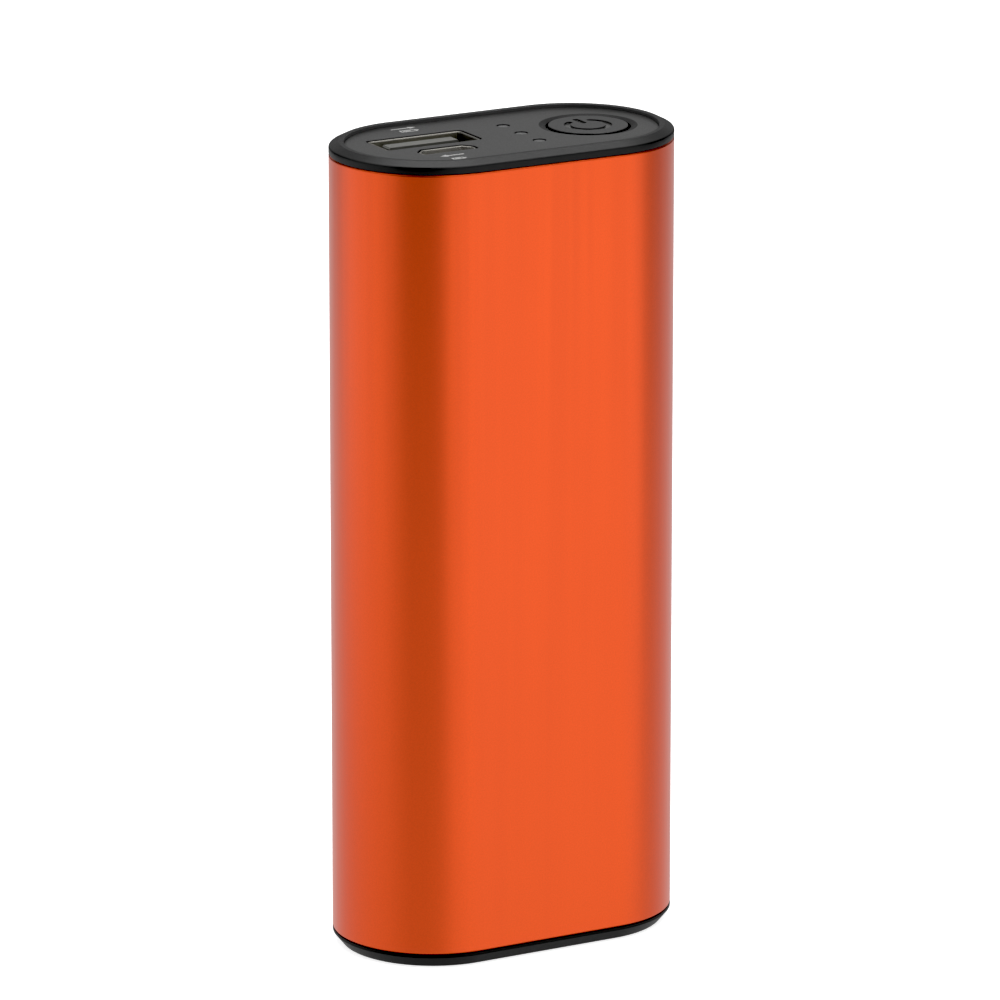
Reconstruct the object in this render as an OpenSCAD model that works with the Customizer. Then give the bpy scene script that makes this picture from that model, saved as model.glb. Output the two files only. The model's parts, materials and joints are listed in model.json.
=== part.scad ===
// Rechargeable hand warmer: an obround aluminium tube closed by two moulded caps.
// Inside, a clamshell carrier holds two cells side by side, and an upright board holds
// both sockets. A small level board under the top cap holds the switch and the lamps.
// Millimetres. Origin at the centre of the foot, +Z up, front face towards -Y, button at +X.

/* [Body] */
// Overall width across the round ends
body_w = 45.2; // [45:0.1:46]
// Overall depth from front face to back face
body_d = 25.4; // [25.4:0.1:25.8]
// Length of the aluminium tube
tube_h = 99.7; // [99.5:0.1:102]
// Wall of the aluminium tube
tube_wall = 1.2; // [1:0.1:1.2]
// Broken edge at both ends of the tube
tube_edge = 0.3; // [0.1:0.05:0.4]

/* [Top cap] */
// Height of the crest above the tube's end
cap_rise = 1.5; // [1.3:0.1:1.8]
// Height of the cap's upright rim
cap_wall = 0.9; // [0.6:0.1:1]
// How far in the bevel runs from the rim to the crest
cap_bevel = 1.2; // [1:0.1:1.4]
// Width of the flat land on the crest
crest_land = 0.65; // [0.5:0.05:0.7]
// How far the face plate lies below the crest
plate_sink = 0.45; // [0.3:0.05:0.6]
// Thickness of the face plate
plate_t = 0.7; // [0.5:0.1:0.8]

/* [Foot] */
// Height of the bottom cap below the tube
foot_h = 1.8; // [1.6:0.1:2]
// Height of the foot's upright rim
foot_wall = 0.4; // [0.2:0.1:0.8]
// How far in the foot's bevel runs
foot_bevel = 1.15; // [1:0.05:1.3]

/* [Sockets] */
// Centre of both sockets across the width
port_x = -9.8; // [-10:0.1:-9.6]
// Front face of the upright board, where the small socket sits
board_y = -2.25; // [-2.4:0.05:-2.2]
// Thickness of the upright board, which parts the two sockets
board_t = 1.6; // [1.5:0.1:1.6]
// How far the socket rims lie below the face plate
rim_sink = 0.09; // [0.06:0.01:0.12]

/* [Power button] */
// Centre of the button across the width
button_x = 12.2; // [12:0.1:12.3]
// Diameter of the button
button_d = 10; // [9.8:0.1:10]
// Diameter of its well in the face plate
well_d = 10.6; // [10.4:0.1:10.8]
// Outer diameter of the countersink round the well
well_rim_d = 11.9; // [11.4:0.1:12]
// Height of the button's top above the face plate
button_proud = 0; // [0:0.05:0.3]
// Travel of the button, from rest to its stop
button_travel = 0.35; // [0.2:0.05:0.4]

/* [Lamps] */
// Where the row of lamps lies across the width
lamp_x = 2.7; // [2.6:0.1:2.8]
// Distance from lamp to lamp
lamp_pitch = 4.6; // [4.4:0.1:4.8]
// Diameter of the lamp holes
lamp_d = 1.7; // [1.6:0.1:1.9]

/* [Cells] */
// Diameter of a bare cell
cell_d = 18.2; // [18:0.1:18.2]
// Length of a cell, terminal included
cell_l = 65; // [64:0.5:65]
// Distance between the two cells' axes
cell_pitch = 19.6; // [19.5:0.1:19.6]

/* [Hidden] */
FN = 96;

// Outline: two half circles of radius R whose centres lie A to each side
A = (body_w - body_d) / 2;
R = body_d / 2;
Ri = R - tube_wall;
skirt_r = Ri - 0.08;
skirt_in = skirt_r - 1.22;
carrier_r = Ri - 1.2;
shell_in = carrier_r - 1.2;
film_y = Ri - 0.02;
film_t = 0.2;

// Levels, from the foot up
z_tube0 = foot_h;
z_tube1 = foot_h + tube_h;
z_crest = z_tube1 + cap_rise;
z_plate = z_crest - plate_sink;
plate_r = R - cap_bevel - crest_land - 0.05;
tape_t = 0.1;
z_deck1 = z_plate - plate_t - tape_t;
z_deck0 = z_deck1 - 1.45;
z_skirt0 = z_tube1 - 6;
z_rim = z_plate - rim_sink;

foot_sink = 0.25;
z_foot_deck0 = 1.05;
z_foot_deck1 = 2.6;
foot_land = 0.8;
foot_plate_r = R - foot_bevel - foot_land - 0.05;

// Cells and carrier
z_strip0 = 7;
strip_t = 0.2;
z_cell0 = z_strip0 + strip_t;
z_cell1 = z_cell0 + cell_l;
z_car0 = 5.4;
z_car1 = z_cell1 + 0.4 + 1.6;
bay_r = cell_d / 2 + 0.15;
z_shell1 = z_deck0 - 9.3;
post_y = 7.6;
post_r = 2.2;
z_post1 = z_deck0 - 1;
lead_y = -4.6;

// Upright board and its sockets
back_y = board_y + board_t;
z_board0 = z_car1 + 0.8;
z_board1 = z_deck0 - 0.2;
usb_w = 13.1;
usb_t = 5.7;
usb_l = 14;
usb_wall = 0.3;
usb_y = back_y + usb_t / 2;
z_usb0 = z_rim - usb_l;
micro_l = 5.35;
z_micro0 = z_rim - micro_l;
z_link = 79.5;
slot_z0 = 77.5;
slot_z1 = 81.5;

// Level board, switch and button
z_bb1 = z_deck0 - 7;
z_bb0 = z_bb1 - 1;
z_sw1 = z_bb1 + 3.1;
dome_h = button_travel + 0.1;
z_pl0 = z_bb1 + 1.75;
z_sw_floor = z_pl0 - dome_h;
z_top_pl = z_bb1 + 4.95;
sw_h = 3;
pillars = [[4.8, 7.4], [4.8, -7.4], [15, 7], [15, -7]];
bb_holes = [[4.8, 7.4], [15, -7]];
flange_r = button_d / 2 + 0.5;

// ---- shared shapes ----

// Sweeps the profile [r, z] round the obround path, r measured out from the centre line
module stadium(pts, a = A) {
    for (s = [0, 1])
        mirror([s, 0, 0]) translate([a, 0, 0]) rotate([0, 0, -90])
            rotate_extrude(angle = 180, $fn = FN) polygon(pts);
    for (s = [0, 1])
        mirror([0, s, 0]) translate([-a, 0, 0]) rotate([90, 0, 90])
            linear_extrude(height = 2 * a) polygon(pts);
}

module slab(r, z0, z1, a = A) stadium([[0, z0], [r, z0], [r, z1], [0, z1]], a);

module rod(x, y, z0, z1, r) translate([x, y, z0]) cylinder(r = r, h = z1 - z0, $fn = FN);

// Cylinder along Y, from y0 to y1
module rod_y(x, z, y0, y1, r) translate([x, y0, z]) rotate([-90, 0, 0]) cylinder(r = r, h = y1 - y0, $fn = FN);

module block(x0, x1, y0, y1, z0, z1) translate([x0, y0, z0]) cube([x1 - x0, y1 - y0, z1 - z0]);

// Rectangle with rounded corners, centred
function rr(w, h, r, n = 6) = [
    for (q = [0:3]) for (i = [0:n])
        let (t = 90 * q + 90 * i / n,
             cx = (q == 0 || q == 3 ? 1 : -1) * (w / 2 - r),
             cy = (q < 2 ? 1 : -1) * (h / 2 - r))
        [cx + r * cos(t), cy + r * sin(t)]
];

// Outline of the small socket grown by c: wide side to the front, narrow side on the board
function micro_pts(c, k) = [
    [-3.75 - c + k, -2.45 - c], [3.75 + c - k, -2.45 - c],
    [3.75 + c, -2.45 - c + k], [3.75 + c, -1.15 + 0.4 * c],
    [3.6 + c, -0.95 + 0.5 * c], [2.85 + 0.5 * c, -0.1 + 0.9 * c], [2.6 + 0.4 * c, c],
    [-2.6 - 0.4 * c, c], [-2.85 - 0.5 * c, -0.1 + 0.9 * c], [-3.6 - c, -0.95 + 0.5 * c],
    [-3.75 - c, -1.15 + 0.4 * c], [-3.75 - c, -2.45 - c + k]
];

module usb_prism(c, r, z0, z1)
    translate([port_x, usb_y, z0]) linear_extrude(height = z1 - z0) polygon(rr(usb_w + 2 * c, usb_t + 2 * c, r));

module micro_prism(c, k, z0, z1)
    translate([port_x, board_y, z0]) linear_extrude(height = z1 - z0) polygon(micro_pts(c, k));

// Pan head screw pointing up from z0: head of radius hr and height hh, shank of radius sr and length sl
module screw_up(x, y, z0, hr, hh, sr, sl)
    difference() {
        union() {
            rod(x, y, z0, z0 + hh, hr);
            rod(x, y, z0 + hh / 2, z0 + hh + sl, sr);
        }
        for (t = [45, 135]) translate([x, y, z0]) rotate([0, 0, t]) cube([hr * 1.3, 0.45, hh * 0.9], center = true);
    }

// ---- casing ----

module outer_tube() color("OrangeRed")
    stadium([
        [Ri, z_tube0], [R - tube_edge, z_tube0], [R, z_tube0 + tube_edge],
        [R, z_tube1 - tube_edge], [R - tube_edge, z_tube1], [Ri, z_tube1]
    ]);

module top_cap() color([0.16, 0.16, 0.16])
    difference() {
        union() {
            stadium([
                [0, z_deck0], [skirt_in, z_deck0], [skirt_in, z_skirt0], [skirt_r, z_skirt0],
                [skirt_r, z_tube1], [R, z_tube1], [R, z_tube1 + cap_wall],
                [R - cap_bevel, z_crest], [plate_r + 0.05, z_crest], [plate_r + 0.05, z_deck1], [0, z_deck1]
            ]);
            for (s = [-1, 1]) rod(0, s * post_y, z_post1, z_deck0 + 0.4, post_r);
            for (p = pillars) rod(p[0], p[1], z_bb1, z_deck0 + 0.4, 1.7);
            for (sx = [-1, 1]) for (sy = [-1, 1])
                translate([button_x + sx * 6.35, sy * 1.35, z_deck0 - 0.45]) cube([1.3, 0.7, 1.7], center = true);
        }
        usb_prism(0.25, 0.8, z_deck0 - 2, z_crest);
        micro_prism(0.25, 0.4, z_deck0 - 2, z_crest);
        rod(button_x, 0, z_deck0 - 0.1, z_crest, button_d / 2 + 0.1);
        for (i = [-1:1]) rod(lamp_x, i * lamp_pitch, z_deck0 - 0.1, z_crest, lamp_d / 2 - 0.05);
        for (s = [-1, 1]) {
            rod(0, s * post_y, z_post1 - 1, z_crest, 1.15);
            rod(0, s * post_y, z_deck0 + 0.3, z_crest, 1.9);
        }
        for (p = bb_holes) rod(p[0], p[1], z_bb1 - 1, z_deck0 - 1.3, 0.6);
    }

module face_plate() color([0.3, 0.3, 0.3])
    difference() {
        stadium([
            [0, z_plate - plate_t], [plate_r, z_plate - plate_t], [plate_r, z_plate - 0.1],
            [plate_r - 0.1, z_plate], [0, z_plate]
        ]);
        usb_prism(0.2, 0.7, z_deck1, z_crest);
        micro_prism(0.2, 0.3, z_deck1, z_crest);
        for (i = [-1:1]) rod(lamp_x, i * lamp_pitch, z_deck1, z_crest, lamp_d / 2);
        translate([button_x, 0, 0]) rotate_extrude($fn = FN)
            polygon([
                [0, z_deck1], [well_d / 2, z_deck1], [well_d / 2, z_plate - 0.2],
                [well_rim_d / 2, z_plate], [well_rim_d / 2, z_crest], [0, z_crest]
            ]);
    }

module top_plate_adhesive() color("gainsboro")
    difference() {
        slab(plate_r - 0.25, z_deck1, z_deck1 + tape_t);
        usb_prism(0.6, 1, z_deck0, z_crest);
        translate([port_x - 4.6, board_y - 3.3, z_deck0]) cube([9.2, 4, 4]);
        for (i = [-1:1]) rod(lamp_x, i * lamp_pitch, z_deck0, z_crest, lamp_d / 2 + 0.3);
        rod(button_x, 0, z_deck0, z_crest, well_d / 2 + 0.3);
    }

module bottom_cap() color([0.16, 0.16, 0.16])
    difference() {
        union() {
            stadium([
                [0, z_foot_deck0], [foot_plate_r + 0.05, z_foot_deck0], [foot_plate_r + 0.05, 0],
                [R - foot_bevel, 0], [R, z_tube0 - foot_wall], [R, z_tube0], [skirt_r, z_tube0],
                [skirt_r, 5.2], [skirt_in, 5.2], [skirt_in, z_foot_deck1], [0, z_foot_deck1]
            ]);
            for (s = [-1, 1]) rod(0, s * post_y, z_foot_deck1 - 0.4, 3.4, 2.5);
        }
        for (s = [-1, 1]) {
            rod(0, s * post_y, 0, 4, 1.25);
            rod(0, s * post_y, 0, 2.25, 1.95);
        }
    }

module bottom_plate() color([0.14, 0.14, 0.14])
    stadium([
        [0, foot_sink], [foot_plate_r - 0.1, foot_sink], [foot_plate_r, foot_sink + 0.1],
        [foot_plate_r, z_foot_deck0 - tape_t], [0, z_foot_deck0 - tape_t]
    ]);

module bottom_plate_adhesive() color("gainsboro")
    difference() {
        slab(foot_plate_r - 0.3, z_foot_deck0 - tape_t, z_foot_deck0);
        for (s = [-1, 1]) rod(0, s * post_y, 0, 2, 2.2);
    }

// ---- button, lamps ----

// Stroke of the power symbol: an open ring with round ends
function ring_mark(r, w, gap, n = 40) = concat(
    [for (i = [0:n]) let (t = 90 + gap + (360 - 2 * gap) * i / n) (r + w / 2) * [cos(t), sin(t)]],
    [for (i = [1:7]) let (t = 90 - gap, u = t + 180 * i / 8) r * [cos(t), sin(t)] + w / 2 * [cos(u), sin(u)]],
    [for (i = [0:n]) let (t = 90 + gap + (360 - 2 * gap) * (n - i) / n) (r - w / 2) * [cos(t), sin(t)]],
    [for (i = [1:7]) let (t = 90 + gap, u = t + 180 + 180 * i / 8) r * [cos(t), sin(t)] + w / 2 * [cos(u), sin(u)]]
);

module power_button() color([0.28, 0.28, 0.28])
    translate([button_x, 0, 0]) difference() {
        union() {
            rotate_extrude($fn = FN) polygon([
                [0, z_deck0 - 0.85], [flange_r, z_deck0 - 0.85], [flange_r, z_deck0 - 0.05],
                [button_d / 2, z_deck0 - 0.05], [button_d / 2, z_plate + button_proud - 0.1],
                [button_d / 2 - 0.1, z_plate + button_proud], [0, z_plate + button_proud]
            ]);
            for (s = [-1, 1]) translate([s * 5.8, 0, z_deck0 - 0.45]) cube([1.2, 1.6, 0.8], center = true);
            rod(0, 0, z_top_pl + 0.02, z_deck0, 1.5);
        }
        difference() {
            rod(0, 0, z_deck0 - 1, z_deck0 + 1.2, 4);
            rod(0, 0, z_deck0 - 2, z_deck0 + 2, 1.5);
        }
        translate([0, 0, z_plate + button_proud - 0.2]) linear_extrude(height = 1) polygon(ring_mark(2.6, 0.8, 34));
        translate([0, 2.15, z_plate + button_proud - 0.2]) linear_extrude(height = 1) polygon(rr(0.8, 2.7, 0.39));
    }

module light_guide() color([0.9, 0.9, 0.9, 0.6]) {
    for (i = [-1:1]) rod(lamp_x, i * lamp_pitch, z_bb1 + 0.9, z_plate - 0.12, lamp_d / 2 - 0.1);
    block(lamp_x - 1, lamp_x + 1, -5.7, 5.7, z_deck0 - 1.1, z_deck0 - 0.1);
}

// ---- sockets ----

module usb_a_shell() color("silver") {
    difference() {
        usb_prism(0, 0.6, z_usb0, z_rim);
        usb_prism(-usb_wall, 0.35, z_usb0 - 1, z_rim + 1);
        for (sx = [-1, 1]) block(port_x + sx * 3.3 - 1.1, port_x + sx * 3.3 + 1.1, usb_y - 4, usb_y + 4, z_rim - 9.3, z_rim - 4);
    }
    // Spring fingers: two in each wide wall, bent inwards
    for (sx = [-1, 1]) for (sy = [-1, 1])
        translate([port_x + sx * 3.3 - 0.85, usb_y, z_rim]) mirror([0, sy < 0 ? 1 : 0, 0]) rotate([90, 0, 90])
            linear_extrude(height = 1.7) polygon([
                [usb_t / 2 - 0.3, -3.9], [usb_t / 2, -3.9], [usb_t / 2 - 0.22, -7.8], [usb_t / 2 - 0.12, -8.5],
                [usb_t / 2 - 0.37, -8.6], [usb_t / 2 - 0.5, -7.8]
            ]);
    // Legs through the board
    for (sx = [-1, 1]) for (z = [z_rim - 11.5, z_rim - 6])
        translate([port_x + sx * (usb_w / 2 - usb_wall / 2), back_y - 1, z]) cube([usb_wall, 3.4, 1.6], center = true);
}

module usb_a_insulator() color([0.2, 0.2, 0.2])
    difference() {
        union() {
            usb_prism(-usb_wall - 0.05, 0.3, z_usb0, z_usb0 + 3);
            translate([port_x, usb_y + 1.75, z_usb0 + 2.8]) rotate([90, 0, 0]) linear_extrude(height = 1.84)
                polygon([
                    [-5.5, 0], [5.5, 0], [5.5, 8.2], [4.9, 8.8], [4.9, 10.65], [4.7, 10.85],
                    [-4.7, 10.85], [-4.9, 10.65], [-4.9, 8.8], [-5.5, 8.2]
                ]);
        }
        for (x = [-3.5, -1, 1, 3.5]) {
            block(port_x + x - 0.55, port_x + x + 0.55, usb_y - 0.25, usb_y + 0.05, z_usb0 - 1, z_usb0 + 12.5);
        }
    }

module usb_a_contacts() color("gold")
    for (x = [-3.5, -1, 1, 3.5]) {
        block(port_x + x - 0.5, port_x + x + 0.5, usb_y - 0.2, usb_y + 0.05, z_usb0 - 0.35, z_usb0 + 12.4);
        block(port_x + x - 0.5, port_x + x + 0.5, back_y, usb_y, z_usb0 - 0.35, z_usb0 - 0.1);
    }

module micro_usb_shell() color("silver") {
    difference() {
        micro_prism(0, 0.35, z_micro0, z_rim);
        micro_prism(-0.3, 0.15, z_micro0 - 1, z_rim + 1);
    }
    for (s = [-1, 1]) translate([port_x + s * 3.8, board_y - 0.125, z_micro0 + 2.1]) cube([2.2, 0.25, 2], center = true);
}

module micro_usb_insulator() color([0.2, 0.2, 0.2])
    difference() {
        union() {
            micro_prism(-0.35, 0.12, z_micro0, z_micro0 + 1.3);
            block(port_x - 1.85, port_x + 1.85, board_y - 1.85, board_y - 1.25, z_micro0 + 1, z_rim - 0.5);
        }
        for (i = [-2:2]) block(port_x + i * 0.65 - 0.22, port_x + i * 0.65 + 0.22, board_y - 1.32, board_y - 1.15, z_micro0 - 1, z_rim - 1);
    }

module micro_usb_contacts() color("gold")
    for (i = [-2:2]) {
        block(port_x + i * 0.65 - 0.2, port_x + i * 0.65 + 0.2, board_y - 1.32, board_y - 1.2, z_micro0 - 0.3, z_rim - 1.1);
        block(port_x + i * 0.65 - 0.2, port_x + i * 0.65 + 0.2, board_y - 1.3, board_y, z_micro0 - 0.3, z_micro0 - 0.1);
    }

// ---- electronics ----

module main_board() color("DarkGreen")
    difference() {
        translate([0, back_y, 0]) rotate([90, 0, 0]) linear_extrude(height = board_t) polygon([
            [-17.8, z_board0], [17.8, z_board0], [18.6, z_board0 + 0.8], [18.6, z_bb0 - 0.2], [0.3, z_bb0 - 0.2],
            [0.3, z_board1], [-17.4, z_board1], [-18.6, z_board1 - 1.2], [-18.6, z_board0 + 0.8]
        ]);
        for (s = [-1, 1]) rod_y(s * 15.5, z_link, board_y - 1, back_y + 1, 1.15);
        for (sx = [-1, 1]) for (z = [z_rim - 11.5, z_rim - 6])
            translate([port_x + sx * (usb_w / 2 - usb_wall / 2), board_y, z]) cube([0.6, 6, 1.9], center = true);
    }

module button_board() color("DarkGreen")
    difference() {
        slab(10, z_bb0, z_bb1);
        block(-30, 1, -20, 20, z_bb0 - 1, z_bb1 + 1);
        for (s = [-1, 1]) translate([0, s * 10, z_bb0]) cube([5.2, 9.6, 4], center = true);
        for (p = bb_holes) rod(p[0], p[1], z_bb0 - 1, z_bb1 + 1, 0.9);
        for (i = [0:4]) rod(4.4 + i, back_y + 0.25, z_bb0 - 1, z_bb1 + 1, 0.4);
        for (sx = [-1, 1]) for (sy = [-1, 1]) rod(button_x + sx * 3.13, sy * 2.2, z_bb0 - 1, z_bb1 + 1, 0.5);
    }

module board_link_pins() color("gold")
    for (i = [0:4]) block(4.4 + i - 0.25, 4.4 + i + 0.25, back_y, back_y + 0.5, z_bb0 - 5, z_bb1 + 0.8);

module switch_body() color([0.1, 0.1, 0.1])
    difference() {
        block(button_x - sw_h, button_x + sw_h, -sw_h, sw_h, z_bb1, z_sw1);
        rod(button_x, 0, z_sw_floor, z_sw1 + 1, 1.9);
    }

module switch_cover() color("silver")
    difference() {
        block(button_x - sw_h, button_x + sw_h, -sw_h, sw_h, z_sw1, z_sw1 + 0.25);
        rod(button_x, 0, z_sw1 - 1, z_sw1 + 1, 1.9);
    }

module switch_terminals() color("silver")
    for (sx = [-1, 1]) for (sy = [-1, 1])
        translate([button_x + sx * (sw_h + 0.125), sy * 2.2, z_bb1 + 0.1]) cube([0.25, 0.7, 2.5], center = true);

// Snap dome: a thin dished disc that holds the plunger up
module switch_dome() color("silver")
    translate([button_x, 0, z_sw_floor]) rotate_extrude($fn = FN)
        polygon([
            [0, dome_h - 0.1], [0.7, dome_h - 0.16], [1.3, dome_h * 0.27], [1.75, 0],
            [1.75, 0.08], [1.3, dome_h * 0.27 + 0.08], [0.7, dome_h - 0.08], [0, dome_h - 0.02]
        ]);

module switch_plunger() color([0.12, 0.12, 0.12])
    translate([button_x, 0, 0]) rotate_extrude($fn = FN)
        polygon([[0, z_pl0], [1.8, z_pl0], [1.8, z_top_pl - 0.2], [1.6, z_top_pl], [0, z_top_pl]]);

module indicator_leds() color("white")
    for (i = [-1:1]) translate([lamp_x, i * lamp_pitch, z_bb1 + 0.3]) cube([1.6, 0.8, 0.6], center = true);

module power_inductor() color([0.25, 0.25, 0.27])
    translate([7.6, board_y, 85]) rotate([90, 0, 0]) {
        linear_extrude(height = 0.6) polygon(rr(7, 7, 0.6));
        linear_extrude(height = 3.4) polygon(rr(6.2, 6.2, 1.4));
        translate([0, 0, 3.2]) linear_extrude(height = 0.8) polygon(rr(7, 7, 0.6));
    }

module control_chips() color([0.08, 0.08, 0.08]) {
    block(-14, -9, board_y - 0.9, board_y, 84, 89);
    block(-3, 1.9, board_y - 1.5, board_y, 84, 87.9);
    for (z = [83, 87]) block(13, 15.9, board_y - 1.1, board_y, z, z + 1.3);
}

module ceramic_capacitors() color("tan")
    for (p = [[-16.5, 84], [-16.5, 87], [-7.6, 85], [-7.6, 88], [-1.5, 90.5], [1.4, 81], [10.8, 78.5], [-12, 78], [-2, 79.5]])
        block(p[0], p[0] + 1.6, board_y - 0.8, board_y, p[1], p[1] + 0.8);

// ---- cells and their carrier ----

// Both halves before they are parted: bays below, an open wall above
module carrier_whole() {
    difference() {
        union() {
            slab(carrier_r, z_car0, z_car1);
            stadium([[shell_in, z_car1 - 0.5], [carrier_r, z_car1 - 0.5], [carrier_r, z_shell1], [shell_in, z_shell1]]);
            for (s = [-1, 1]) {
                rod(0, s * post_y, z_car1 - 0.5, z_post1, post_r);
                rod(0, s * post_y, 3.4, z_car0 + 0.5, post_r);
            }
        }
        for (s = [-1, 1]) rod(s * cell_pitch / 2, 0, z_strip0, z_cell1 + 0.4, bay_r);
        block(-3, 3, -3.3, 3.3, z_strip0, z_cell0 + 0.05);
        block(-1.8, 1.8, -5.8, 0, z_strip0, z_cell0 + 0.05);
        block(-3, 3, -3.3, 3.3, z_cell1 - 0.1, z_cell1 + 0.4);
        for (s = [-1, 1]) {
            rod(0, s * post_y, 3, 11, 0.9);
            rod(0, s * post_y, z_post1 - 8, z_post1 + 1, 0.85);
        }
        rod(0, lead_y, z_strip0, z_car1 + 1, 0.85);
        rod(5, board_y - 0.6, z_cell1, z_car1 + 1, 0.85);
        block(-9, -3, -20, 20, slot_z0, slot_z1);
    }
}

module front_carrier() color("ivory")
    difference() {
        carrier_whole();
        block(-40, 40, -0.02, 40, -1, 120);
    }

module rear_carrier() color("ivory")
    difference() {
        union() {
            difference() {
                carrier_whole();
                block(-40, 40, -40, 0.02, -1, 120);
            }
            // Bosses that the upright board is screwed to
            intersection() {
                for (s = [-1, 1]) rod_y(s * 15.5, z_link, back_y, 9, 2.4);
                slab(carrier_r - 0.3, z_link - 4, z_link + 4);
            }
        }
        for (s = [-1, 1]) rod_y(s * 15.5, z_link, back_y - 1, 6, 0.8);
    }

module cell(x) translate([x, 0, 0]) rotate_extrude($fn = FN)
    polygon([
        [0, z_cell0], [cell_d / 2 - 0.3, z_cell0], [cell_d / 2, z_cell0 + 0.3], [cell_d / 2, z_cell1 - 4.8],
        [cell_d / 2 - 0.35, z_cell1 - 4.4], [cell_d / 2 - 0.35, z_cell1 - 3.8], [cell_d / 2, z_cell1 - 3.4],
        [cell_d / 2, z_cell1 - 0.7], [cell_d / 2 - 0.3, z_cell1 - 0.4], [cell_d / 2 - 0.9, z_cell1 - 0.4],
        [cell_d / 2 - 1, z_cell1 - 0.7], [3.9, z_cell1 - 0.7], [3.6, z_cell1 - 0.1], [3.4, z_cell1], [0, z_cell1]
    ]);

module cell_left() color("silver") cell(-cell_pitch / 2);
module cell_right() color("silver") cell(cell_pitch / 2);

module cell_sleeves() color("SteelBlue")
    for (s = [-1, 1]) difference() {
        rod(s * cell_pitch / 2, 0, z_cell0 + 0.3, z_cell1 - 0.7, cell_d / 2 + 0.1);
        rod(s * cell_pitch / 2, 0, z_cell0 - 1, z_cell1 + 1, cell_d / 2);
    }

module cell_insulators() color("white")
    for (s = [-1, 1]) difference() {
        rod(s * cell_pitch / 2, 0, z_cell1 - 0.4, z_cell1 - 0.2, cell_d / 2 - 0.35);
        rod(s * cell_pitch / 2, 0, z_cell1 - 1, z_cell1 + 1, 4.2);
    }

module top_nickel_strip() color("silver")
    block(-13.3, 13.3, -3, 3, z_cell1, z_cell1 + strip_t);

module bottom_nickel_strip() color("silver") {
    block(-13.3, 13.3, -3, 3, z_strip0, z_strip0 + strip_t);
    block(-1.5, 1.5, -5.5, -2.9, z_strip0, z_strip0 + strip_t);
}

module battery_lead_red() color("red")
    rod(5, board_y - 0.6, z_cell1 + strip_t, z_board0 + 4, 0.6);

module battery_lead_black() color([0.05, 0.05, 0.05]) {
    rod(0, lead_y, z_cell0, z_board0 + 2, 0.6);
    translate([0, lead_y, z_board0 + 2]) sphere(r = 0.6, $fn = 48);
    rod_y(0, z_board0 + 2, lead_y, board_y, 0.6);
}

// ---- heating ----

// s = -1 for the front face, 1 for the back face
module heater(s) {
    y0 = s > 0 ? film_y - film_t : -film_y;
    block(-9.5, 9.5, y0, y0 + film_t, 9, 69);
    block(-8.8, -6, y0, y0 + film_t, 68, z_link + 1);
}

module front_heater() color("orange") heater(-1);
module rear_heater() color("orange") heater(1);

module front_foam_pad() color("DimGray")
    difference() {
        block(-9.5, 9.5, -film_y + film_t, -carrier_r, 9, 69);
        block(-5.6, -3, -20, 0, 59.5, 70);
    }

module rear_foam_pad() color("DimGray")
    block(-9.5, 9.5, carrier_r, film_y - film_t, 9, 69);

module heater_leads() color("gray")
    for (x = [-8.1, -6.7]) {
        rod_y(x, z_link, -film_y + film_t, board_y, 0.45);
        rod_y(x, z_link, back_y, film_y - film_t, 0.45);
    }

module thermistor() color("black") {
    rod(-4.3, -10.8, 60, 63, 0.45);
    translate([-4.3, -10.8, 60]) sphere(r = 0.45, $fn = 48);
    for (x = [-4.5, -4.1]) {
        rod(x, -10.8, 62.8, z_link, 0.15);
        translate([x, -10.8, z_link]) sphere(r = 0.15, $fn = 48);
        rod_y(x, z_link, -10.8, board_y, 0.15);
    }
}

// ---- screws ----

module top_screws() color("dimgray")
    for (s = [-1, 1]) translate([0, 0, 2 * z_deck0 + 1.35]) mirror([0, 0, 1])
        screw_up(0, s * post_y, z_deck0, 1.75, 1.05, 1, 8);

module bottom_screws() color("dimgray")
    for (s = [-1, 1]) screw_up(0, s * post_y, 1.15, 1.8, 1.1, 1.1, 7.5);

module board_screws() color("dimgray")
    for (s = [-1, 1]) translate([s * 15.5, board_y - 1, z_link]) rotate([-90, 0, 0])
        screw_up(0, 0, 0, 1.8, 1, 0.95, 6);

module button_board_screws() color("dimgray")
    for (p = bb_holes) screw_up(p[0], p[1], z_bb0 - 1, 1.4, 1, 0.75, 5.6);

outer_tube();
top_cap();
face_plate();
top_plate_adhesive();
power_button();
light_guide();
usb_a_shell();
usb_a_insulator();
usb_a_contacts();
micro_usb_shell();
micro_usb_insulator();
micro_usb_contacts();
main_board();
button_board();
board_link_pins();
switch_body();
switch_cover();
switch_terminals();
switch_dome();
switch_plunger();
indicator_leds();
power_inductor();
control_chips();
ceramic_capacitors();
front_carrier();
rear_carrier();
cell_left();
cell_right();
cell_sleeves();
cell_insulators();
top_nickel_strip();
bottom_nickel_strip();
battery_lead_red();
battery_lead_black();
front_heater();
rear_heater();
front_foam_pad();
rear_foam_pad();
heater_leads();
thermistor();
bottom_cap();
bottom_plate();
bottom_plate_adhesive();
top_screws();
bottom_screws();
board_screws();
button_board_screws();
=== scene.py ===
import bpy, bmesh, json, math
from mathutils import Vector, Matrix
from mathutils.geometry import delaunay_2d_cdt


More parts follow.
